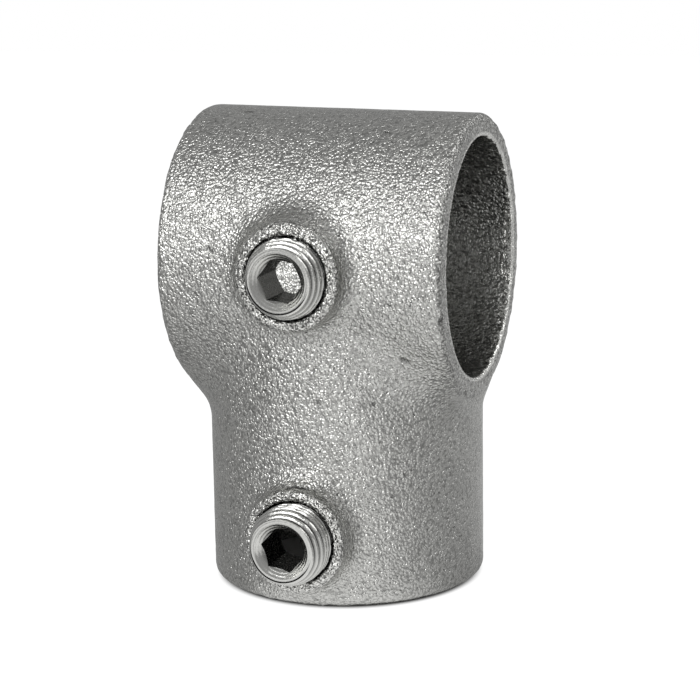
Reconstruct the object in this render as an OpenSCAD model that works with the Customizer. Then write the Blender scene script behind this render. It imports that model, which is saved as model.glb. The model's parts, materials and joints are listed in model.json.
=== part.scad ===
// Right-angle tube connector: a cast tee with a through sleeve for one tube, a socket
// for a second tube at right angles to it, and a hollow set screw that grips each tube.
// Millimetres. X runs along the sleeve, the socket hangs down along -Z, and both screws
// face -Y. The origin is where the axes of the two tubes cross.

/* [Tubes] */
// Outside diameter of the tubes that are joined
tube_d = 48.3; // [42:0.1:56]
// Play of a tube in its bore, on the diameter
bore_play = 1.3; // [0.6:0.1:2.4]

/* [Sleeve] */
// Length of the sleeve along the through tube
sleeve_len = 60; // [60:1:90]
// Wall of the sleeve at its right end
sleeve_wall = 4.7; // [4.4:0.1:6]
// Growth of the sleeve's radius from its right end to its left, as the casting has it
sleeve_draft = 0.8; // [0:0.1:1.2]

/* [Socket] */
// Distance from the sleeve's axis down to the socket's mouth
socket_reach = 69; // [66:1:100]
// Wall of the socket
socket_wall = 4.1; // [3:0.1:4.2]
// Metal between the sleeve's bore and the ledge that stops the second tube
ledge_web = 3.2; // [2:0.1:6]
// Diameter of the cored hole that joins the socket to the sleeve
core_d = 32; // [16:1:38]

/* [Cast edges] */
// Radius of the outer edge at each end of the sleeve
sleeve_rim = 1.7; // [0.5:0.1:2.2]
// Radius of the outer edge at the socket's mouth
socket_rim = 2.4; // [0.5:0.1:2.8]
// Radius of the inner edge at each mouth
mouth_round = 0.6; // [0.2:0.1:1]
// Radius of the hollow blend under the sleeve's ends, at the socket's sides
saddle_side_blend = 3; // [2:0.5:6]
// Radius of the hollow blend between sleeve and socket at the front and the back
saddle_front_blend = 24; // [12:1:30]

/* [Bosses] */
// Diameter of a boss at its face
boss_d = 21.4; // [20:0.1:24]
// How far a boss stands out from its wall
boss_stand = 5.1; // [4.5:0.1:7]
// Radius of the edge round a boss face
boss_round = 1.2; // [0.4:0.1:1.8]
// Radius of the hollow blend at the foot of a boss
boss_blend = 3.6; // [1:0.1:4.4]
// Distance from the socket's mouth up to the axis of its screw
screw_setback = 15.2; // [15:0.1:24]
// Chamfer at the mouth of a threaded hole
hole_chamfer = 0.5; // [0.1:0.1:0.8]

/* [Set screws] */
// Outside diameter of the screw thread
thread_d = 16.5; // [15:0.1:17]
// Play between the thread crests and the hole, on the radius
thread_play = 0.05; // [0.02:0.01:0.09]
// Length of a set screw
screw_len = 13; // [11:0.5:13]
// Width across the flats of the hexagon socket
hex_af = 8.1; // [6:0.1:9]
// Diameter of the countersink at the mouth of the hexagon
countersink_d = 11.4; // [10.6:0.1:12]
// Chamfer at both ends of the thread
thread_chamfer = 1.1; // [0.5:0.1:1.6]
// Width of the sharp cup edge at the inner end
cup_edge = 0.6; // [0.3:0.1:1.2]
// How far the sleeve screw stands out of its boss
sleeve_screw_out = 4; // [2:0.1:4.5]
// How far the socket screw stands out of its boss
socket_screw_out = 6.4; // [2:0.1:6.5]
// Turn of the sleeve screw about its axis, in degrees
sleeve_screw_turn = -7; // [-30:1:30]
// Turn of the socket screw about its axis, in degrees
socket_screw_turn = -12; // [-30:1:30]

/* [Hidden] */
$fn = 96;

cut = 1;                       // overrun of a cutter past the face that it opens
edge_steps = 6;                // straight steps in the profile of a rounded edge
blend_steps = 7;               // straight steps across a hollow blend
boss_blend_turns = 48;         // sections round the foot of a boss
saddle_blend_turns = 72;       // sections round the saddle
blend_sink = 0.04;             // depth by which a blend runs into the walls it joins
blend_root = 1.4;              // depth of a blend's closed back behind both walls
cup_slope = 45;                // slope of the cup at a screw's inner end

bore_r = (tube_d + bore_play) / 2;
sleeve_right_r = bore_r + sleeve_wall;
sleeve_left_r = sleeve_right_r + sleeve_draft;
sleeve_mid_r = (sleeve_left_r + sleeve_right_r) / 2;
sleeve_slope = -sleeve_draft / sleeve_len;
socket_r = bore_r + socket_wall;
ledge_z = -(bore_r + ledge_web);
screw_z = screw_setback - socket_reach;
sleeve_face = sleeve_mid_r + boss_stand;
socket_face = socket_r + boss_stand;
hole_r = thread_d / 2 + thread_play;
hex_corner_r = hex_af / 2 / cos(30);
cup_r = thread_d / 2 - thread_chamfer - cup_edge;

// Points on an arc about [x, y], from angle a to angle b
function arc(x, y, r, a, b) = [
    for (i = [0:edge_steps])
        let (t = a + (b - a) * i / edge_steps)
        [x + r * cos(t), y + r * sin(t)]
];

// Unit vector that lies a share t of the way along the arc from unit vector a to b
function turn_towards(a, b, t) =
    let (w = acos(a * b))
    (sin((1 - t) * w) * a + sin(t * w) * b) / sin(w);

// One section of the blend that a ball rolls out between a round branch, which rises
// along Z, and a host wall, which lies along X with its radius growing by slope: the
// hollow arc, then the point behind it that closes the section inside both walls
function blend_section(branch, host_mid, slope, ball, angle) =
    let (
        side = [cos(angle), sin(angle), 0],
        x = (branch + ball) * side.x,
        y = (branch + ball) * side.y,
        host = host_mid + slope * x,
        centre = [x, y, sqrt((host + ball) ^ 2 - y ^ 2)],
        out = [0, centre.y, centre.z] / (host + ball),
        root = (branch - blend_root) * side
    )
    concat(
        [
            for (i = [0:blend_steps])
                centre - (ball + blend_sink) * turn_towards(side, out, i / blend_steps)
        ],
        [[root.x, root.y, sqrt(host ^ 2 - root.y ^ 2) - blend_root]]
    );

// Skin of a closed loop of sections, each a ring of as many points
module loop_skin(sections) {
    n = len(sections);
    m = len(sections[0]);
    polyhedron(
        points = [for (section = sections, point = section) point],
        faces = [
            for (i = [0:n - 1], j = [0:m - 1], half = [0, 1])
                let (
                    a = i * m + j,
                    b = i * m + (j + 1) % m,
                    c = (i + 1) % n * m + (j + 1) % m,
                    d = (i + 1) % n * m + j
                )
                half == 0 ? [a, c, b] : [a, d, c]
        ]
    );
}

// Solid round blank along Z from low to high, with a rounded edge at each end that has
// an edge radius above 0
module blank(low, low_r, low_edge, high, high_r, high_edge) {
    rotate_extrude()
        polygon(concat(
            [[0, low]],
            low_edge > 0
                ? arc(low_r - low_edge, low + low_edge, low_edge, -90, 0)
                : [[low_r, low]],
            high_edge > 0
                ? arc(high_r - high_edge, high - high_edge, high_edge, 0, 90)
                : [[high_r, high]],
            [[0, high]]
        ));
}

// Cutter for a bore that opens downwards at z = 0, with the rounded edge of its mouth
module bore_cutter(depth) {
    rotate_extrude()
        polygon(concat(
            [[0, -cut], [bore_r + mouth_round, -cut]],
            arc(bore_r + mouth_round, mouth_round, mouth_round, 270, 180),
            [[bore_r, depth], [0, depth]]
        ));
}

// Puts a piece that rises along Z on the screw side, at height z
module facing_front(z) {
    translate([0, 0, z]) rotate([90, 0, 0]) children();
}

// Round boss from inside the wall out to its face
module boss(face) {
    blank(bore_r, boss_d / 2, 0, face, boss_d / 2, boss_round);
}

// Hollow blend round the foot of a boss on a wall that lies along X
module boss_foot(wall_r, slope) {
    loop_skin([
        for (i = [0:boss_blend_turns - 1])
            blend_section(boss_d / 2, wall_r, slope, boss_blend, 360 * i / boss_blend_turns)
    ]);
}

// Hollow blend round the saddle, cut off inside the sleeve's ends
module saddle() {
    reach = sleeve_len / 2 - sleeve_rim / 2;
    intersection() {
        rotate([180, 0, 0])
            loop_skin([
                for (i = [0:saddle_blend_turns - 1])
                    let (
                        angle = 360 * i / saddle_blend_turns,
                        front = sin(angle) ^ 2,
                        ball = saddle_side_blend * (1 - front) + saddle_front_blend * front
                    )
                    blend_section(socket_r, sleeve_mid_r, sleeve_slope, ball, angle)
            ]);
        translate([-reach, -sleeve_len, -socket_reach])
            cube([2 * reach, 2 * sleeve_len, socket_reach]);
    }
}

module threaded_hole(face) {
    translate([0, 0, bore_r / 2])
        cylinder(r = hole_r, h = face + cut - bore_r / 2);
    translate([0, 0, face - hole_chamfer])
        cylinder(r1 = hole_r, r2 = hole_r + hole_chamfer + cut, h = hole_chamfer + cut);
}

module casting() color([0.58, 0.59, 0.58]) {
    difference() {
        union() {
            rotate([0, 90, 0])
                blank(-sleeve_len / 2, sleeve_left_r, sleeve_rim,
                    sleeve_len / 2, sleeve_right_r, sleeve_rim);
            blank(-socket_reach, socket_r, socket_rim, 0, socket_r, 0);
            saddle();
            facing_front(0) boss(sleeve_face);
            facing_front(0) boss_foot(sleeve_mid_r, sleeve_slope);
            facing_front(screw_z) boss(socket_face);
            facing_front(screw_z) rotate([0, 0, 90]) boss_foot(socket_r, 0);
        }
        for (side = [-1, 1])
            translate([side * sleeve_len / 2, 0, 0]) rotate([0, -side * 90, 0])
                bore_cutter(sleeve_len / 2);
        translate([0, 0, -socket_reach])
            bore_cutter(socket_reach + ledge_z);
        translate([0, 0, ledge_z - cut])
            cylinder(d = core_d, h = cut - ledge_z);
        facing_front(0) threaded_hole(sleeve_face);
        facing_front(screw_z) threaded_hole(socket_face);
    }
}

// Shank of a set screw at the size of its thread crests, with a chamfer at each end
module shank() {
    crest_r = thread_d / 2;
    end_r = crest_r - thread_chamfer;
    rotate_extrude()
        polygon([
            [0, 0],
            [end_r, 0],
            [crest_r, thread_chamfer],
            [crest_r, screw_len - thread_chamfer],
            [end_r, screw_len],
            [0, screw_len]
        ]);
}

// Hollow set screw whose outer end is at the given distance from the tube axis
module set_screw(outer_end, turn) {
    countersink_r = countersink_d / 2;
    translate([0, 0, outer_end - screw_len])
        difference() {
            shank();
            translate([0, 0, -cut])
                rotate([0, 0, turn])
                    cylinder(r = hex_corner_r, h = screw_len + 2 * cut, $fn = 6);
            translate([0, 0, screw_len - countersink_r])
                cylinder(r1 = 0, r2 = countersink_r + cut, h = countersink_r + cut);
            translate([0, 0, -cut])
                cylinder(r1 = cup_r + cut / tan(cup_slope), r2 = 0,
                    h = cut + cup_r * tan(cup_slope));
        }
}

module sleeve_set_screw() color([0.74, 0.74, 0.73]) {
    facing_front(0)
        set_screw(sleeve_face + sleeve_screw_out, sleeve_screw_turn);
}

module socket_set_screw() color([0.74, 0.74, 0.73]) {
    facing_front(screw_z)
        set_screw(socket_face + socket_screw_out, socket_screw_turn);
}

casting();
sleeve_set_screw();
socket_set_screw();
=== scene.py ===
"""Looks of the right-angle tube connector: a galvanised cast tee with two bright set screws.

Metres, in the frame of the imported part: X along the sleeve, Z up, both screws face -Y.
The casting's skin is its CAD mesh, made even, rounded and roughened. The screws are built
new, with their threads. The materials read a few values that each vertex carries.
"""

import json
import math

import bpy
import numpy as np
from mathutils import Matrix, Vector
from mathutils.bvhtree import BVHTree


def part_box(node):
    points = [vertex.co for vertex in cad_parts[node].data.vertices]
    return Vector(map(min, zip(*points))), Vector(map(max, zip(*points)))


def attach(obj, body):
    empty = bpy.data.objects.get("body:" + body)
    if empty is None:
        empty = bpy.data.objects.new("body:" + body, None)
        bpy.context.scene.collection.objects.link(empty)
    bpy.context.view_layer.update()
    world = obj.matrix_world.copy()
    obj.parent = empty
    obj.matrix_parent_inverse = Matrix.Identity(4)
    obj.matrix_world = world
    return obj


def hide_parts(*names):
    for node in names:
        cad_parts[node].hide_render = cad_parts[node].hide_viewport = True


MM = 0.001

# Added to what is divided by, so that it is never 0
TINY_LENGTH = 1e-9
TINY_SQUARE = 1e-30

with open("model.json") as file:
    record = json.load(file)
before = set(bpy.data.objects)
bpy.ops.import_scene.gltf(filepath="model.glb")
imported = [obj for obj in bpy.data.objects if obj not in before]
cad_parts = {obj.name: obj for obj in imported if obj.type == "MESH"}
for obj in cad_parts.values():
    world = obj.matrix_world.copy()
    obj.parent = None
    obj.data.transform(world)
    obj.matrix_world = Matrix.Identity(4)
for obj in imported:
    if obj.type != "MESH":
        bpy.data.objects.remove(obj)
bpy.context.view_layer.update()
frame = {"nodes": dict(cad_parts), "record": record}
CASTING = frame["nodes"]["casting"]

# Camera, as the photograph was taken
CAMERA_AZIMUTH = math.radians(19.64)
CAMERA_ELEVATION = math.radians(11.86)
CAMERA_ROLL = math.radians(-0.92)
CAMERA_DISTANCE = 450.9 * MM
CAMERA_TARGET = Vector((0.843, 0, -21.13)) * MM
CAMERA_LENS = 109.5
CAMERA_SENSOR = 36
CAMERA_CLIP = (0.01, 20)

# Studio: levels of light, the headings between which the floor's pools of light fade, and
# the distances from the object's middle between which the floor's glow starts
STUDIO_GREY = 0.34
POOL_WHITE = 1.1
CAMERA_WHITE = 1.28
GLOW_SHARE = 0.75
POOL_LEFT = (math.radians(-36), math.radians(-8))
POOL_RIGHT = (math.radians(78), math.radians(26))
BACK_POOL = (math.radians(100), math.radians(140))
BACK_SHARE = 0.38
FLOOR_GREY = 0.6
FLOOR_ROUGHNESS = 0.9
FLOOR_SPECULAR = 0.1
FLOOR_HALF = 1.5
FLOOR_DROP = 0.05 * MM
CONTACT = (26.5 * MM, 29.0 * MM)

# Soft lights: headings in degrees, sizes in metres and power in watts
FRONT_SOFTBOX = {
    "azimuth": -14,
    "elevation": 34,
    "distance": 0.7,
    "width": 0.56,
    "height": 0.36,
    "power": 2.6,
}
BACK_SOFTBOX = {
    "azimuth": 125,
    "elevation": 42,
    "distance": 0.9,
    "width": 0.5,
    "height": 0.5,
    "power": 1.5,
}

# The casting's sizes, read off the frame
MOUNTS = {mount["name"]: mount for mount in frame["record"]["mounts"]}
BORE_R = MOUNTS["sleeve_bore"]["dims"]["r_mm"] * MM
CAST_LOW, CAST_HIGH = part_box("casting")
SLEEVE_END = CAST_HIGH.x
MOUTH_Z = CAST_LOW.z
BORE_MARGIN = 0.5 * MM
HOLE_MARGIN = 0.1 * MM

# Each screw's body, its hexagon's turn in degrees, and its boss: the Y of the face, and how
# much wider it is than in the CAD mesh
SCREWS = {
    "sleeve_set_screw": {
        "body": "sleeve_screw",
        "turn": -7,
        "face": -35.0 * MM,
        "flare": 0.25 * MM,
    },
    "socket_set_screw": {
        "body": "socket_screw",
        "turn": -12,
        "face": -34.0 * MM,
        "flare": 0.1 * MM,
    },
}

# Bosses, as in the CAD mesh, which lie wholly in front of BOSSES_Y. Fades count from the edge
# or the face of a boss or a hole: what they bound is 0 at the first distance and full at the
# second.
BOSS_R = 10.7 * MM
HOLE_R = 8.3 * MM
BOSSES_Y = -20 * MM
FLARE_INSIDE = -1.3 * MM
FLARE_OUTSIDE = 5 * MM
FLANK_LEAN = 0.27
FLANK_HEIGHT = 7.5 * MM
FLANK_FADE = (7 * MM, 2.5 * MM)
FLANK_TOWARDS = (-0.34, 0.94)
RING_EDGE = (0.7 * MM, -0.4 * MM)
RING_FACE = (2.0 * MM, 0.9 * MM)
# Painted shade in the gap round each screw
GAP_SHADE = (0.45 * MM, 0.25 * MM)

# Making the skin from the CAD mesh. UNBENT and SQUARE are cosines: above them, a facet has
# flat shading, or faces along an axis.
VOXEL = 0.4 * MM
SKIN_FACES = 192_000
ROUNDING = 0.5
UNBENT = 0.99999
SQUARE = 0.9999
BLEND_SPREAD = 3
BLEND_PASSES = 50
BLEND_STEP = 0.6

# Unevenness of the skin: how wide and how high its bumps are, and its share in the bores
# and on the end faces
COARSE_WAVE = 2.8 * MM
COARSE_HEIGHT = 0.06 * MM
FINE_WAVE = 1.2 * MM
FINE_HEIGHT = 0.04 * MM
RING_WAVE = 1.3 * MM
RING_HEIGHT = 0.3 * MM
BORE_RELIEF = 0.4
MOUTH_SHARE = 0.8
MOUTH_FADE = (1.4 * MM, 0.5 * MM)
SEEDS = {"coarse": 11, "fine": 12, "ring": 13, "drip": 14}

# Painted highlight along the inner edge of the sleeve's mouths, and the drips of zinc along its
# back half
EDGE = 1.0 * MM
DRIP_WAVE = 1.6 * MM
DRIP_HEIGHT = 0.8 * MM
DRIP_FADE = (1.6 * MM, 0.8 * MM)
DRIP_BACK = (-4 * MM, 6 * MM)
DRIP_FROM = 0.1
DRIP_REACH = 1.6 * MM
DRIP_SIZE = 0.9 * MM
DRIP_LEVELS = (0.42, 0.62)

# Marks in the skin, in mm: from one point to another, half width and depth. They fade between
# two multiples of the half width.
MARKS = (
    ((-18.5, -29.8, 4.6), (-17.2, -29.9, 4.0), 0.35, 0.25),
    ((-15.2, -29.9, 3.2), (-15.0, -29.9, 3.1), 0.3, 0.2),
    ((-22.0, -29.9, -4.6), (-20.9, -29.8, -5.3), 0.3, 0.2),
    ((-19.4, -6.0, 29.5), (-17.6, -6.0, 29.5), 0.3, 0.25),
    ((20.5, -24.6, -17.1), (21.6, -24.2, -17.6), 0.4, 0.3),
    ((14.5, -25.0, -26.3), (14.7, -24.9, -26.3), 0.35, 0.25),
    ((17.0, -23.7, -24.2), (17.1, -23.7, -24.3), 0.3, 0.2),
    ((11.8, -27.6, -11.7), (12.0, -27.6, -11.8), 0.3, 0.2),
    ((4.1, -28.6, -25.7), (4.3, -28.6, -25.9), 0.4, 0.25),
    ((0.3, -28.9, -36.7), (0.4, -28.9, -36.8), 0.3, 0.2),
    ((-1.6, -31.5, -43.1), (2.8, -31.0, -43.0), 0.4, 0.35),
    ((11.9, -16.1, 25.0), (12.1, -16.0, 25.1), 0.3, 0.2),
    ((13.4, -13.1, 26.7), (14.2, -13.0, 26.8), 0.3, 0.2),
    ((29.4, -27.7, -8.2), (29.6, -27.5, -8.6), 0.45, 0.3),
)
MARK_FADE = (1.9, 0.3)

# Grey levels of the materials
CAST_GREY = 0.62
CAST_PALE = 0.68
# Painted shade: the darker grey of the bores and holes
BORE_SHADE_GREY = 0.54
# Dark grey of the pits and marks, and of the painted shade in the gap round each screw
SPOT_AND_GAP_SHADE = 0.12
RING_PALE = 0.8
# Painted highlight along the mouths' inner edge, and the pale drips
EDGE_HIGHLIGHT_AND_DRIP_PALE = 1.0
SCREW_GREY = 0.68
# Painted shade in the thread's grooves and in the hexagon
GROOVE_SHADE_GREY = 0.03
HEXAGON_SHADE_GREY = 0.24
TINT = (1.0, 1.0, 0.965)

# Patterns of the materials: sizes, the noise levels between which they change, and shades
NOISE_SPAN = (0.3, 0.7)
ROUGHNESS = (0.2, 0.3)
CAST_ROUGH_WAVE = 1.5 * MM
SCREW_ROUGH_WAVE = 0.8 * MM
PATCH = 7 * MM
PEBBLE = 0.62 * MM
PEBBLE_BEND = 0.5 * MM
PEBBLE_TOP = (0.8, 0.1)
# Painted shade in the crevices between the pebbles
CREVICE = (0.5, 0.8)
CREVICE_PAINTED_SHADE = 0.6
GRAIN = 0.45 * MM
# On the rough parts: painted shade in the grain's hollows, and paler tops
GRIT = (0.38, 0.55)
GRIT_AND_HOLLOW_SHADE = (0.3, 1.15)
PIT = 0.6 * MM
PIT_LEVELS = (0.19, 0.25)
PIT_SHARE = 0.8
CLUMP = 1.3 * MM
BLOB = 0.8 * MM

# Relief of the materials
BORE_CALM = 0.5
GRAIN_RELIEF = 0.2 * MM
CLUMP_RELIEF = 0.12 * MM
PEBBLE_RELIEF = 0.145 * MM
BLOB_RELIEF = 0.5 * MM
TURNED_PITCH = 0.55 * MM
TURNED_RELIEF = 0.012 * MM
SCRATCH = 0.5 * MM
SCRATCH_RELIEF = 0.04 * MM

# Set screws: the thread, the countersunk hexagon, the cup point, the mesh, and the fades of the
# painted shade in the hexagon and the thread's grooves
PITCH = 1.337 * MM
THREAD_DEPTH = 0.64 * PITCH
CREST_SHARE = 0.35
SLOPE_SHARE = 0.55
THREAD_CHAMFER = 1.1 * MM
CREST_WEAR = 0.12 * MM
LEAD_LENGTH = 3.8 * MM
LEAD_DROP = 1.5 * MM
LEAD_POWER = 1.2
SINK_R = 5.7 * MM
SINK_WALL = 0.4 * MM
CUP_EDGE = 0.6 * MM
HEX_HALF = 4.05 * MM
TURN_STEPS = 128
ROWS_PER_PITCH = 16
CONE_ROWS = 7
WALL_ROWS = 14
RIM_ROWS = 5
SHARP_ANGLE = math.radians(38)
HEXAGON_FADE = (0.6 * MM, 2.0 * MM)
GROOVE_FULL = 0.65
GROOVE_MARGIN = 0.5 * MM
GROOVE_START = 0.3 * MM


def smoothstep(low, high, value):
    """0 at low, 1 at high, with soft ends; low may be above high."""
    share = np.clip((value - low) / (high - low), 0, 1)
    return share * share * (3 - 2 * share)


def random_grid(shape, seed):
    """Random values between -1 and 1 on a grid, the same on every run."""
    return np.random.default_rng(seed).uniform(-1, 1, shape)


def lattice_noise(points, spacing, seed):
    """Smooth noise of mean 0 at points, with bumps about spacing apart."""
    low = points.min(0) - spacing
    place = (points - low) / spacing
    cell = np.floor(place).astype(int)
    share = smoothstep(0, 1, place - cell)
    grid = random_grid(tuple(cell.max(0) + 2), seed)
    total = np.zeros(len(points))
    for corner in np.ndindex(2, 2, 2):
        weight = np.prod(np.where(corner, share, 1 - share), axis=1)
        at = cell + corner
        total += weight * grid[at[:, 0], at[:, 1], at[:, 2]]
    return total


def dents(points, spacing, seed):
    """Smooth noise from -2 to 0, which only cuts into the skin."""
    return lattice_noise(points, spacing, seed) - 1


def coordinates(mesh):
    """The places of the mesh's vertices, as an array."""
    points = np.zeros(len(mesh.vertices) * 3)
    mesh.vertices.foreach_get("co", points)
    return points.reshape(-1, 3)


def set_coordinates(mesh, points):
    """Moves the mesh's vertices."""
    mesh.vertices.foreach_set("co", points.astype(np.float32).ravel())
    mesh.update()


def vertex_normals(mesh):
    """The normals of the mesh's vertices, as an array."""
    normals = np.zeros(len(mesh.vertices) * 3)
    mesh.vertex_normals.foreach_get("vector", normals)
    return normals.reshape(-1, 3)


def edge_ends(mesh):
    """The two vertices of each edge of the mesh, as an array."""
    ends = np.zeros(len(mesh.edges) * 2, int)
    mesh.edges.foreach_get("vertices", ends)
    return ends.reshape(-1, 2)


def store(mesh, name, values):
    """Keeps one value for each vertex, which the material reads by name."""
    mesh.attributes.new(name, "FLOAT", "POINT").data.foreach_set("value", values.astype(np.float32))


def evaluated_mesh(piece):
    """A new mesh of the piece with its modifiers applied."""
    graph = bpy.context.evaluated_depsgraph_get()
    graph.update()
    return bpy.data.meshes.new_from_object(piece.evaluated_get(graph))


def with_modifier(piece, kind, **settings):
    """Applies one modifier to the piece."""
    modifier = piece.modifiers.new(kind.lower(), kind)
    for name, value in settings.items():
        setattr(modifier, name, value)
    mesh = evaluated_mesh(piece)
    piece.modifiers.clear()
    piece.data = mesh


def new_object(name, data):
    """A new object in the scene, with the given mesh, camera or light."""
    thing = bpy.data.objects.new(name, data)
    bpy.context.scene.collection.objects.link(thing)
    return thing


def averaged(values, ends):
    """The mean of each vertex's neighbours."""
    a, b = ends.T
    count = np.bincount(np.concatenate([a, b]), minlength=len(values))
    total = [
        np.bincount(a, values[b, k], len(values)) + np.bincount(b, values[a, k], len(values))
        for k in range(values.shape[1])
    ]
    return np.stack(total, axis=1) / count[:, None]


def corner_shares(point, a, b, c):
    """How near each point lies to each corner of its triangle; the shares add up to 1."""
    area = np.cross(b - a, c - a)
    size = (area * area).sum(1) + TINY_SQUARE
    opposite = ((b, c), (c, a), (a, b))
    return np.stack(
        [(np.cross(p - point, q - point) * area).sum(1) / size for p, q in opposite],
        axis=1,
    )


def onto_true_surface(points, cad):
    """Moves points onto the rounded surface that the CAD mesh's facets stand for.

    Also says for each point whether its facet is a flat one of a hollow blend."""
    cad.calc_loop_triangles()
    corners = np.array([t.vertices for t in cad.loop_triangles])
    places = coordinates(cad)[corners]
    bends = np.array([[cad.corner_normals[k].vector for k in t.loops] for t in cad.loop_triangles])
    flat = np.array([t.normal for t in cad.loop_triangles])
    tree = BVHTree.FromPolygons(coordinates(cad).tolist(), corners.tolist())
    hits = [tree.find_nearest(p) for p in points.tolist()]
    near = np.array([hit[0] for hit in hits])
    face = np.array([hit[2] for hit in hits])

    share = corner_shares(near, places[face, 0], places[face, 1], places[face, 2])
    lift = np.zeros_like(near)
    for k in range(3):
        normal = bends[face, k]
        off = ((near - places[face, k]) * normal).sum(1, keepdims=True)
        lift -= share[:, k : k + 1] * off * normal
    unbent = np.einsum("fkc,fc->fk", bends, flat).min(1) > UNBENT
    square = np.abs(flat).max(1) > SQUARE
    return near + ROUNDING * lift, (unbent & ~square)[face]


def smooth_blends(points, ends, in_blend):
    """Evens out the facets of the hollow blends and the creases along their sides."""
    weight = in_blend.astype(float)[:, None]
    for _ in range(BLEND_SPREAD):
        weight = np.maximum(weight, averaged(weight, ends))
    for _ in range(BLEND_PASSES):
        points = points + BLEND_STEP * weight * (averaged(points, ends) - points)
    return points


def off_screw_axis(points, node):
    """Distance of each point from the axis of the screw's hole."""
    low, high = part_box(node)
    return np.hypot(points[:, 0] - (low.x + high.x) / 2, points[:, 2] - (low.z + high.z) / 2)


def flared_bosses(points):
    """Widens the bosses a little, and leans the upper flank of the sleeve's boss outwards."""
    points = points.copy()
    for node, screw in SCREWS.items():
        low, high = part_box(node)
        away = points[:, [0, 2]] - [(low.x + high.x) / 2, (low.z + high.z) / 2]
        off = np.hypot(*away.T) + TINY_LENGTH
        away /= off[:, None]
        in_front = points[:, 1] < BOSSES_Y
        wider = smoothstep(BOSS_R + FLARE_INSIDE, BOSS_R, off)
        wider = wider * smoothstep(BOSS_R + FLARE_OUTSIDE, BOSS_R, off)
        push = screw["flare"] * wider * in_front
        if node == "sleeve_set_screw":
            sunk = np.clip(points[:, 1] - screw["face"], 0, FLANK_HEIGHT)
            lean = flank_lean(away, off, sunk) * in_front
            push += lean
            # What moves up over the round sleeve also sinks back with it
            fall = points[:, 2] / np.maximum(-points[:, 1], MM)
            points[:, 1] += lean * away[:, 1] * fall * np.clip(sunk / FLANK_HEIGHT, 0, 1)
        points[:, [0, 2]] += away * push[:, None]
    return points


def flank_lean(away, off, sunk):
    """How far the boss's upper flank leans outwards; it grows with the depth below the face."""
    upper = np.clip(FLANK_TOWARDS[1] * away[:, 1] + FLANK_TOWARDS[0] * away[:, 0], 0, 1)
    fade = smoothstep(BOSS_R + FLANK_FADE[0], BOSS_R + FLANK_FADE[1], off)
    return FLANK_LEAN * upper * sunk * fade * (off > BOSS_R + FLARE_INSIDE)


def inside_share(points):
    """1 in the bores, the cored hole and the threaded holes, 0 outside."""
    sleeve = np.hypot(points[:, 1], points[:, 2]) < BORE_R + BORE_MARGIN
    socket = (np.hypot(points[:, 0], points[:, 1]) < BORE_R + BORE_MARGIN) & (points[:, 2] < 0)
    inside = sleeve | socket
    for node in SCREWS:
        inside |= (off_screw_axis(points, node) < HOLE_R + HOLE_MARGIN) & (points[:, 1] < 0)
    return inside.astype(float)


def ring_share(points):
    """1 on the rough faces of the bosses, 0 elsewhere."""
    share = np.zeros(len(points))
    for node, screw in SCREWS.items():
        edge, face = BOSS_R + screw["flare"], screw["face"]
        near = smoothstep(edge + RING_EDGE[0], edge + RING_EDGE[1], off_screw_axis(points, node))
        high = smoothstep(face + RING_FACE[0], face + RING_FACE[1], points[:, 1])
        share = np.maximum(share, near * high)
    return share


def mouth_share(points):
    """1 on the end faces of the sleeve and the socket, 0 elsewhere."""
    start, full = MOUTH_FADE
    at_ends = smoothstep(SLEEVE_END - start, SLEEVE_END - full, np.abs(points[:, 0]))
    at_bottom = smoothstep(MOUTH_Z + start, MOUTH_Z + full, points[:, 2])
    return np.maximum(at_ends, at_bottom)


def mark_shares(points):
    """How strongly each point lies in a mark, and how deep the marks are there."""
    share = np.zeros(len(points))
    depth = np.zeros(len(points))
    for start, end, half_width, deep in MARKS:
        a, b = np.array(start) * MM, np.array(end) * MM
        along = np.clip((points - a) @ (b - a) / ((b - a) @ (b - a)), 0, 1)
        off = np.linalg.norm(points - a - along[:, None] * (b - a), axis=1)
        here = smoothstep(MARK_FADE[0] * half_width * MM, MARK_FADE[1] * half_width * MM, off)
        share = np.maximum(share, here)
        depth = np.maximum(depth, here * deep * MM)
    return share, depth


def dripped(points):
    """Adds small drips of zinc along the back half of the sleeve's inner edges."""
    points = points.copy()
    start, full = DRIP_FADE
    round_r = np.hypot(points[:, 1], points[:, 2]) + TINY_LENGTH
    at_edge = smoothstep(start, full, np.abs(round_r - BORE_R))
    at_edge *= smoothstep(SLEEVE_END - start, SLEEVE_END - full, np.abs(points[:, 0]))
    at_edge *= smoothstep(*DRIP_BACK, points[:, 1])
    drips = np.clip(lattice_noise(points, DRIP_WAVE, SEEDS["drip"]) - DRIP_FROM, 0, 1)
    points[:, 1:] *= (1 - DRIP_HEIGHT * at_edge * drips / round_r)[:, None]
    return points


def uneven(points, normals):
    """Cuts the unevenness of the skin and its marks into the points."""
    inside = inside_share(points)
    rough = np.maximum(ring_share(points), MOUTH_SHARE * mouth_share(points))
    depth = mark_shares(points)[1]
    wave = COARSE_HEIGHT * dents(points, COARSE_WAVE, SEEDS["coarse"]) / 2
    wave += FINE_HEIGHT * dents(points, FINE_WAVE, SEEDS["fine"]) / 2
    wave *= 1 - (1 - BORE_RELIEF) * inside
    wave += rough * (1 - inside) * RING_HEIGHT * dents(points, RING_WAVE, SEEDS["ring"]) / 2
    return points + (wave - depth)[:, None] * normals


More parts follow.
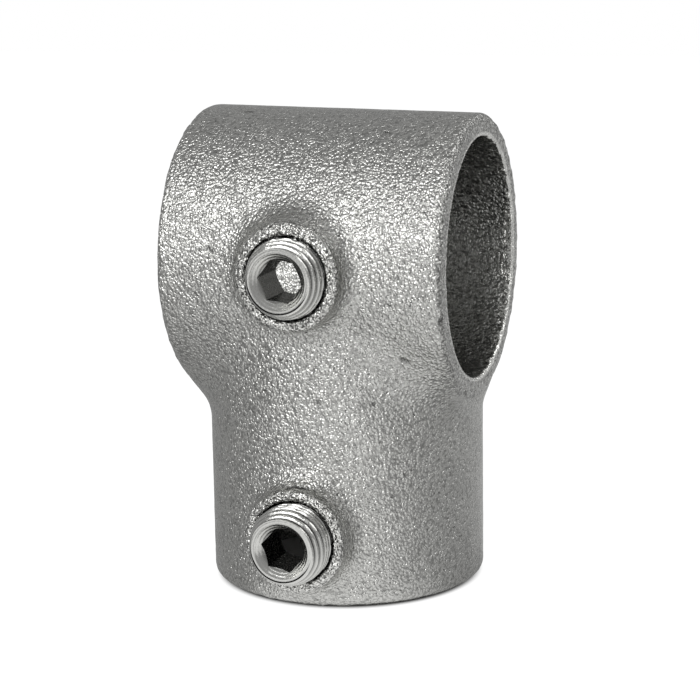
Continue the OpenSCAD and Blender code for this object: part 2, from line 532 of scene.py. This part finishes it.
def casting_skin():
    """The casting as one even mesh with its uneven cast and dipped skin."""
    piece = new_object("casting_skin", CASTING.data.copy())
    with_modifier(piece, "REMESH", mode="VOXEL", voxel_size=VOXEL)
    mesh = piece.data
    points, in_blend = onto_true_surface(coordinates(mesh), CASTING.data)
    points = flared_bosses(smooth_blends(points, edge_ends(mesh), in_blend))
    set_coordinates(mesh, points)
    set_coordinates(mesh, dripped(uneven(points, vertex_normals(mesh))))
    count = sum(len(p.vertices) - 2 for p in mesh.polygons)
    with_modifier(piece, "DECIMATE", ratio=SKIN_FACES / count)
    mesh = piece.data
    points = coordinates(mesh)
    store(mesh, "inside", inside_share(points))
    store(mesh, "ring", ring_share(points))
    store(mesh, "mouth", mouth_share(points))
    store(mesh, "mark", mark_shares(points)[0])
    mesh.shade_smooth()
    mesh.materials.clear()
    mesh.materials.append(galvanised())
    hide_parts("casting")
    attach(piece, "tee")


def worn_crest(crest, from_end):
    """Radius of the thread's worn crests, which taper towards the outer end."""
    return crest - CREST_WEAR - LEAD_DROP * np.clip(1 - from_end / LEAD_LENGTH, 0, 1) ** LEAD_POWER


def thread_radius(turn, along, crest, length):
    """Radius of a right-handed thread at an angle and a distance from the inner end."""
    phase = (along / PITCH - turn / (2 * math.pi)) % 1
    slope = np.abs(2 * phase - 1)
    groove = np.clip((slope - CREST_SHARE) / SLOPE_SHARE, 0, 1)
    top = worn_crest(crest, length - along)
    thread = np.maximum(top - THREAD_DEPTH * groove, SINK_R + SINK_WALL)
    thread = np.minimum(thread, top)
    return np.minimum(thread, crest - THREAD_CHAMFER + along)


def screw_loop(crest, length, turn, hex_turn):
    """Closed profile of the screw at one angle, as (radius, distance from the inner end)."""
    sixth = math.pi / 3
    to_flat = (turn - hex_turn) % sixth - sixth / 2
    wall = HEX_HALF / math.cos(to_flat)
    cup_r = crest - THREAD_CHAMFER - CUP_EDGE
    end_r = worn_crest(crest, 0)
    rows = round(length / PITCH * ROWS_PER_PITCH)
    along = np.linspace(length, 0, rows)
    thread = thread_radius(turn, along, crest, length)
    cone_top = length - SINK_R + wall
    cone = np.linspace(0, 1, CONE_ROWS)[1:-1]
    sink = [(wall + (SINK_R - wall) * t, cone_top + (length - cone_top) * t) for t in cone]
    cup = [(cup_r + (wall - cup_r) * t, (cup_r - wall) * t) for t in cone]
    return (
        [(wall, s) for s in np.linspace(cup_r - wall, cone_top, WALL_ROWS)]
        + sink
        + [(r, length) for r in np.linspace(SINK_R, end_r, RIM_ROWS)[:-1]]
        + list(zip(thread, along))
        + [(cup_r, 0)]
        + cup
    )


def screw_mesh(node, hex_turn):
    """Hollow set screw with a helical thread, a countersunk hexagon and a cup point."""
    low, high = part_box(node)
    crest = (high.x - low.x) / 2
    length = high.y - low.y
    centre = (low + high) / 2
    turns = [2 * math.pi * i / TURN_STEPS for i in range(TURN_STEPS)]
    loops = [screw_loop(crest, length, turn, math.radians(hex_turn)) for turn in turns]
    points = [
        (centre.x + r * math.cos(turn), high.y - s, centre.z + r * math.sin(turn))
        for turn, loop in zip(turns, loops)
        for r, s in loop
    ]
    n, m = TURN_STEPS, len(loops[0])
    faces = [
        (i * m + j, (i + 1) % n * m + j, (i + 1) % n * m + (j + 1) % m, i * m + (j + 1) % m)
        for i in range(n)
        for j in range(m)
    ]
    mesh = bpy.data.meshes.new(node + "_skin")
    mesh.from_pydata(points, [], faces)
    return mesh


def store_screw_shares(mesh, node):
    """Keeps how deep each vertex lies in the hexagon, and how deep in the thread's groove, for the
    painted shade there.
    """
    low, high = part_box(node)
    places = coordinates(mesh)
    off = off_screw_axis(places, node)
    depth = places[:, 1] - low.y
    store(mesh, "inside", smoothstep(*HEXAGON_FADE, depth) * (off < SINK_R))
    groove = (worn_crest((high.x - low.x) / 2, depth) - off) / (GROOVE_FULL * THREAD_DEPTH)
    groove = np.clip(groove, 0, 1) * (off > SINK_R + GROOVE_MARGIN) * (depth > GROOVE_START)
    store(mesh, "groove", groove)


def set_screw(node, screw, material):
    """One set screw, in place of its plain CAD node."""
    mesh = screw_mesh(node, screw["turn"])
    store_screw_shares(mesh, node)
    mesh.shade_smooth()
    mesh.set_sharp_from_angle(angle=SHARP_ANGLE)
    mesh.materials.append(material)
    piece = new_object(node + "_skin", mesh)
    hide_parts(node)
    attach(piece, screw["body"])


def new_material(name):
    """A new material, with its node tree and its shader."""
    material = bpy.data.materials.new(name)
    material.use_nodes = True
    tree = material.node_tree
    return material, tree, tree.nodes["Principled BSDF"]


def feed(tree, socket, value):
    """Links a socket to another one, or sets it to a number or a grey level."""
    if not isinstance(value, (int, float)):
        tree.links.new(value, socket)
    elif socket.type == "VALUE":
        socket.default_value = value
    else:
        socket.default_value = (value, value, value, 1)[: len(socket.default_value)]


def math_node(tree, operation, *values):
    """One math node; each value is a socket or a number."""
    node = tree.nodes.new("ShaderNodeMath")
    node.operation = operation
    for socket, value in zip(node.inputs, values):
        feed(tree, socket, value)
    return node.outputs[0]


def length_node(tree, a, b):
    """Length of the flat vector of two values."""
    squares = [math_node(tree, "MULTIPLY", value, value) for value in (a, b)]
    return math_node(tree, "SQRT", math_node(tree, "ADD", *squares))


def mixed_colour(tree, share, a, b):
    """Colour that goes from a to b; each is a socket or a grey level."""
    node = tree.nodes.new("ShaderNodeMix")
    node.data_type = "RGBA"
    tree.links.new(share, node.inputs["Factor"])
    feed(tree, node.inputs["A"], a)
    feed(tree, node.inputs["B"], b)
    return node.outputs["Result"]


def scaled_colour(tree, colour, factor):
    """Colour, or a grey level, times a value."""
    node = tree.nodes.new("ShaderNodeVectorMath")
    node.operation = "MULTIPLY"
    feed(tree, node.inputs[0], colour)
    tree.links.new(factor, node.inputs[1])
    return node.outputs[0]


def tinted(tree, colour):
    """The colour with the faint warm tint of aged zinc."""
    node = tree.nodes.new("ShaderNodeVectorMath")
    node.operation = "MULTIPLY"
    tree.links.new(colour, node.inputs[0])
    node.inputs[1].default_value = TINT
    return node.outputs[0]


def mapped(tree, value, low, high, to_low=0.0, to_high=1.0):
    """The value, stretched from one range to another and cut off at both ends."""
    node = tree.nodes.new("ShaderNodeMapRange")
    node.inputs["From Min"].default_value = low
    node.inputs["From Max"].default_value = high
    node.inputs["To Min"].default_value = to_low
    node.inputs["To Max"].default_value = to_high
    tree.links.new(value, node.inputs["Value"])
    return node.outputs["Result"]


def smooth_mapped(tree, value, low, high):
    """0 at low, 1 at high, with soft ends; low may be above high."""
    falls = low > high
    ends = (1.0, 0.0) if falls else (0.0, 1.0)
    result = mapped(tree, value, min(low, high), max(low, high), *ends)
    result.node.interpolation_type = "SMOOTHSTEP"
    return result


def noise(tree, place, size, detail=2.0):
    """Noise over the object's own coordinates, with bumps about size apart."""
    node = tree.nodes.new("ShaderNodeTexNoise")
    node.inputs["Scale"].default_value = 1 / size
    node.inputs["Detail"].default_value = detail
    tree.links.new(place, node.inputs["Vector"])
    return node.outputs["Fac"]


def cells(tree, place, size, bend):
    """Distance from the middle of the nearest cell of a bent pattern, 0 to about 0.9."""
    bent = noise(tree, place, size, detail=1.0).node.outputs["Color"]
    shift = tree.nodes.new("ShaderNodeVectorMath")
    shift.operation = "MULTIPLY_ADD"
    tree.links.new(bent, shift.inputs[0])
    shift.inputs[1].default_value = (bend, bend, bend)
    tree.links.new(place, shift.inputs[2])
    node = tree.nodes.new("ShaderNodeTexVoronoi")
    node.inputs["Scale"].default_value = 1 / size
    tree.links.new(shift.outputs[0], node.inputs["Vector"])
    return node.outputs["Distance"]


def object_place(tree):
    """The object's own coordinates."""
    return tree.nodes.new("ShaderNodeTexCoord").outputs["Object"]


def split_place(tree, place):
    """The three coordinates of a place."""
    node = tree.nodes.new("ShaderNodeSeparateXYZ")
    tree.links.new(place, node.inputs[0])
    return node.outputs


def attribute(tree, name):
    """The value that store() keeps under the name."""
    node = tree.nodes.new("ShaderNodeAttribute")
    node.attribute_name = name
    return node.outputs["Fac"]


def add_bump(tree, height, distance, before=None):
    """Bump of the given distance in metres, over an earlier bump where there is one."""
    node = tree.nodes.new("ShaderNodeBump")
    node.inputs["Strength"].default_value = 1.0
    node.inputs["Distance"].default_value = distance
    tree.links.new(height, node.inputs["Height"])
    if before is not None:
        tree.links.new(before, node.inputs["Normal"])
    return node.outputs["Normal"]


def off_screws(tree, x, z):
    """Distance from the axis of the nearer screw."""
    low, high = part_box("socket_set_screw")
    upper = math_node(tree, "ABSOLUTE", z)
    lower = math_node(tree, "ABSOLUTE", math_node(tree, "SUBTRACT", z, (low.z + high.z) / 2))
    return length_node(tree, x, math_node(tree, "MINIMUM", upper, lower))


def screw_gap_shade(tree, place):
    """1 on the painted shade in the gap round each screw, 0 elsewhere."""
    x, y, z = split_place(tree, place)
    line = smooth_mapped(tree, off_screws(tree, x, z), HOLE_R + GAP_SHADE[0], HOLE_R + GAP_SHADE[1])
    return math_node(tree, "MULTIPLY", line, math_node(tree, "LESS_THAN", y, -BORE_R))


def edge_highlight_and_drips(tree, place):
    """1 on the painted highlight along the inner edge of the sleeve's mouths and on its pale drips,
    0 elsewhere.
    """
    x, y, z = split_place(tree, place)
    lumps = mapped(tree, noise(tree, place, DRIP_SIZE, detail=0.0), *DRIP_LEVELS)
    lumps = math_node(tree, "MULTIPLY", lumps, math_node(tree, "GREATER_THAN", y, 0.0))
    reach = math_node(tree, "MULTIPLY_ADD", lumps, -DRIP_REACH, SLEEVE_END - EDGE)
    at_end = math_node(tree, "GREATER_THAN", math_node(tree, "ABSOLUTE", x), reach)
    rim = smooth_mapped(tree, length_node(tree, y, z), BORE_R + EDGE, BORE_R + 0.5 * EDGE)
    return math_node(tree, "MULTIPLY", at_end, rim)


def zinc_colour(tree, place, rough_parts, off_middle, grain):
    """Patchy grey with painted shade in the crevices, dark pits and marks, gritty on the rough
    parts with painted shade in the grain's hollows, darker inside as painted shade, with painted
    shade round the screws and a painted highlight along the mouths' inner edge.
    """
    patches = mapped(tree, noise(tree, place, PATCH), *NOISE_SPAN)
    colour = mixed_colour(tree, patches, CAST_GREY, CAST_PALE)
    colour = mixed_colour(tree, attribute(tree, "ring"), colour, RING_PALE)
    # Painted shade in the crevices between the pebbles, in the bores too
    painted_crevice_shade = mapped(tree, off_middle, *CREVICE, 1.0, CREVICE_PAINTED_SHADE)
    colour = scaled_colour(tree, colour, painted_crevice_shade)
    # The bores and holes take a darker grey as painted shade
    bore = scaled_colour(tree, BORE_SHADE_GREY, painted_crevice_shade)
    colour = mixed_colour(tree, attribute(tree, "inside"), colour, bore)
    # Painted shade in the grain's hollows on the rough parts, paler on its tops
    grit_and_hollow_shade = scaled_colour(tree, colour, mapped(tree, grain, *GRIT, *GRIT_AND_HOLLOW_SHADE))
    colour = mixed_colour(tree, rough_parts, colour, grit_and_hollow_shade)
    # Dark pits and marks, and painted shade in the gap round each screw, in one dark grey
    pits = mapped(tree, noise(tree, place, PIT, detail=0.0), *PIT_LEVELS, PIT_SHARE, 0.0)
    dark = math_node(tree, "MAXIMUM", pits, attribute(tree, "mark"))
    dark = math_node(tree, "MAXIMUM", dark, screw_gap_shade(tree, place))
    colour = mixed_colour(tree, dark, colour, SPOT_AND_GAP_SHADE)
    # Painted highlight along the mouths' inner edge, and the pale drips
    colour = mixed_colour(tree, edge_highlight_and_drips(tree, place), colour, EDGE_HIGHLIGHT_AND_DRIP_PALE)
    return tinted(tree, colour)


def zinc_relief(tree, place, rough_parts, off_middle, grain):
    """Bumps of clumps, pebbles and grain, calmer inside, with blobs on the rough parts."""
    calm = math_node(tree, "MULTIPLY_ADD", attribute(tree, "inside"), -BORE_CALM, 1.0)
    pebbles = math_node(tree, "MULTIPLY", smooth_mapped(tree, off_middle, *PEBBLE_TOP), calm)
    relief = add_bump(tree, noise(tree, place, CLUMP, detail=0.0), CLUMP_RELIEF)
    relief = add_bump(tree, pebbles, PEBBLE_RELIEF, relief)
    relief = add_bump(tree, math_node(tree, "MULTIPLY", grain, calm), GRAIN_RELIEF, relief)
    blobs = math_node(tree, "MULTIPLY", rough_parts, noise(tree, place, BLOB, detail=1.0))
    return add_bump(tree, blobs, BLOB_RELIEF, relief)


def galvanised():
    """Hot-dip zinc on a sand casting: satin grey with a wrinkled orange-peel skin."""
    material, tree, shader = new_material("galvanised_casting")
    place = object_place(tree)
    mouth = math_node(tree, "MULTIPLY", attribute(tree, "mouth"), MOUTH_SHARE)
    rough_parts = math_node(tree, "MAXIMUM", attribute(tree, "ring"), mouth)
    off_middle = cells(tree, place, PEBBLE, PEBBLE_BEND)
    grain = noise(tree, place, GRAIN, detail=1.0)
    parts = (tree, place, rough_parts, off_middle, grain)
    rough = mapped(tree, noise(tree, place, CAST_ROUGH_WAVE), *NOISE_SPAN, *ROUGHNESS)
    shader.inputs["Metallic"].default_value = 1.0
    tree.links.new(zinc_colour(*parts), shader.inputs["Base Color"])
    tree.links.new(rough, shader.inputs["Roughness"])
    tree.links.new(zinc_relief(*parts), shader.inputs["Normal"])
    return material


def plated():
    """Bright zinc plate on turned steel, with painted shade in the hexagon and in the thread's
    grooves.
    """
    material, tree, shader = new_material("plated_screw")
    place = object_place(tree)
    # Painted shade in the thread's grooves and in the hexagon
    shade = mixed_colour(tree, attribute(tree, "groove"), SCREW_GREY, GROOVE_SHADE_GREY)
    shade = mixed_colour(tree, attribute(tree, "inside"), shade, HEXAGON_SHADE_GREY)
    rough = mapped(tree, noise(tree, place, SCREW_ROUGH_WAVE), *NOISE_SPAN, *ROUGHNESS)
    x, _, z = split_place(tree, place)
    phase = math_node(tree, "MULTIPLY", off_screws(tree, x, z), 2 * math.pi / TURNED_PITCH)
    rings = add_bump(tree, math_node(tree, "SINE", phase), TURNED_RELIEF)
    relief = add_bump(tree, noise(tree, place, SCRATCH), SCRATCH_RELIEF, rings)
    shader.inputs["Metallic"].default_value = 1.0
    tree.links.new(tinted(tree, shade), shader.inputs["Base Color"])
    tree.links.new(rough, shader.inputs["Roughness"])
    tree.links.new(relief, shader.inputs["Normal"])
    return material


def direction(azimuth, elevation):
    """Unit vector from the object towards a heading; azimuth 0 is -Y, and 90 degrees is +X."""
    return Vector(
        (
            math.sin(azimuth) * math.cos(elevation),
            -math.cos(azimuth) * math.cos(elevation),
            math.sin(elevation),
        )
    )


def add_camera():
    """Camera with the photograph's place, lens and slight roll."""
    back = direction(CAMERA_AZIMUTH, CAMERA_ELEVATION)
    right = Vector((math.cos(CAMERA_AZIMUTH), math.sin(CAMERA_AZIMUTH), 0))
    up = back.cross(right)
    turned_right = math.cos(CAMERA_ROLL) * right + math.sin(CAMERA_ROLL) * up
    turned_up = back.cross(turned_right)
    data = bpy.data.cameras.new("camera")
    data.lens = CAMERA_LENS
    data.sensor_width = CAMERA_SENSOR
    data.clip_start, data.clip_end = CAMERA_CLIP
    camera = new_object("camera", data)
    turn = Matrix((turned_right, turned_up, back)).transposed().to_4x4()
    camera.matrix_world = Matrix.Translation(CAMERA_TARGET + CAMERA_DISTANCE * back) @ turn
    bpy.context.scene.camera = camera


def add_softbox(name, azimuth, elevation, distance, width, height, power):
    """Soft light that looks at the object's middle from the given direction."""
    data = bpy.data.lights.new(name, "AREA")
    data.shape = "RECTANGLE"
    data.size = width
    data.size_y = height
    data.energy = power
    light = new_object(name, data)
    back = direction(math.radians(azimuth), math.radians(elevation))
    light.location = CAMERA_TARGET + distance * back
    light.rotation_mode = "QUATERNION"
    light.rotation_quaternion = back.to_track_quat("Z", "Y")


def light_paths(tree):
    """The kinds of ray that look at the surface."""
    return tree.nodes.new("ShaderNodeLightPath").outputs


def floor_light(tree, x, y):
    """The floor's light as metal sees it: brightest in front, with a weaker pool behind."""
    heading = math_node(tree, "ARCTAN2", x, math_node(tree, "MULTIPLY", y, -1))
    from_left = smooth_mapped(tree, heading, *POOL_LEFT)
    to_right = smooth_mapped(tree, heading, *POOL_RIGHT)
    pool = math_node(tree, "MULTIPLY", from_left, to_right)
    behind = math_node(tree, "MULTIPLY", smooth_mapped(tree, heading, *BACK_POOL), BACK_SHARE)
    return mixed_colour(tree, math_node(tree, "MAXIMUM", pool, behind), STUDIO_GREY, POOL_WHITE)


def floor_material():
    """Pale floor that the camera sees white, with the object's shadow."""
    material, tree, shader = new_material("floor")
    shader.inputs["Base Color"].default_value = (FLOOR_GREY, FLOOR_GREY, FLOOR_GREY, 1)
    shader.inputs["Roughness"].default_value = FLOOR_ROUGHNESS
    shader.inputs["Specular IOR Level"].default_value = FLOOR_SPECULAR
    x, y, _ = split_place(tree, object_place(tree))
    paths = light_paths(tree)
    glow = tree.nodes.new("ShaderNodeEmission")
    lit = mixed_colour(tree, paths["Is Camera Ray"], floor_light(tree, x, y), CAMERA_WHITE)
    tree.links.new(lit, glow.inputs["Color"])
    seen = math_node(tree, "MAXIMUM", paths["Is Camera Ray"], paths["Is Glossy Ray"])
    seen = math_node(tree, "MAXIMUM", seen, paths["Is Transmission Ray"])
    outside = smooth_mapped(tree, length_node(tree, x, y), *CONTACT)
    share = math_node(tree, "MULTIPLY", math_node(tree, "MULTIPLY", seen, outside), GLOW_SHARE)
    mix = tree.nodes.new("ShaderNodeMixShader")
    tree.links.new(share, mix.inputs["Fac"])
    tree.links.new(shader.outputs[0], mix.inputs[1])
    tree.links.new(glow.outputs[0], mix.inputs[2])
    tree.links.new(mix.outputs[0], tree.nodes["Material Output"].inputs["Surface"])
    return material


def add_floor():
    """Square floor just under the socket's mouth."""
    low, half = MOUTH_Z - FLOOR_DROP, FLOOR_HALF
    corners = [(-half, -half, low), (half, -half, low), (half, half, low), (-half, half, low)]
    mesh = bpy.data.meshes.new("floor")
    mesh.from_pydata(corners, [], [(0, 1, 2, 3)])
    mesh.materials.append(floor_material())
    new_object("floor", mesh)


def add_world():
    """Grey studio, which the camera sees as a white background."""
    world = bpy.data.worlds.new("studio")
    bpy.context.scene.world = world
    world.use_nodes = True
    tree = world.node_tree
    background = tree.nodes["Background"]
    background.inputs["Strength"].default_value = 1.0
    colour = mixed_colour(tree, light_paths(tree)["Is Camera Ray"], STUDIO_GREY, 1.0)
    tree.links.new(colour, background.inputs["Color"])


def main():
    add_camera()
    add_world()
    add_floor()
    add_softbox("front_softbox", **FRONT_SOFTBOX)
    add_softbox("back_softbox", **BACK_SOFTBOX)
    casting_skin()
    metal = plated()
    for node, screw in SCREWS.items():
        set_screw(node, screw, metal)
    bpy.context.scene.view_settings.view_transform = "Standard"


main()
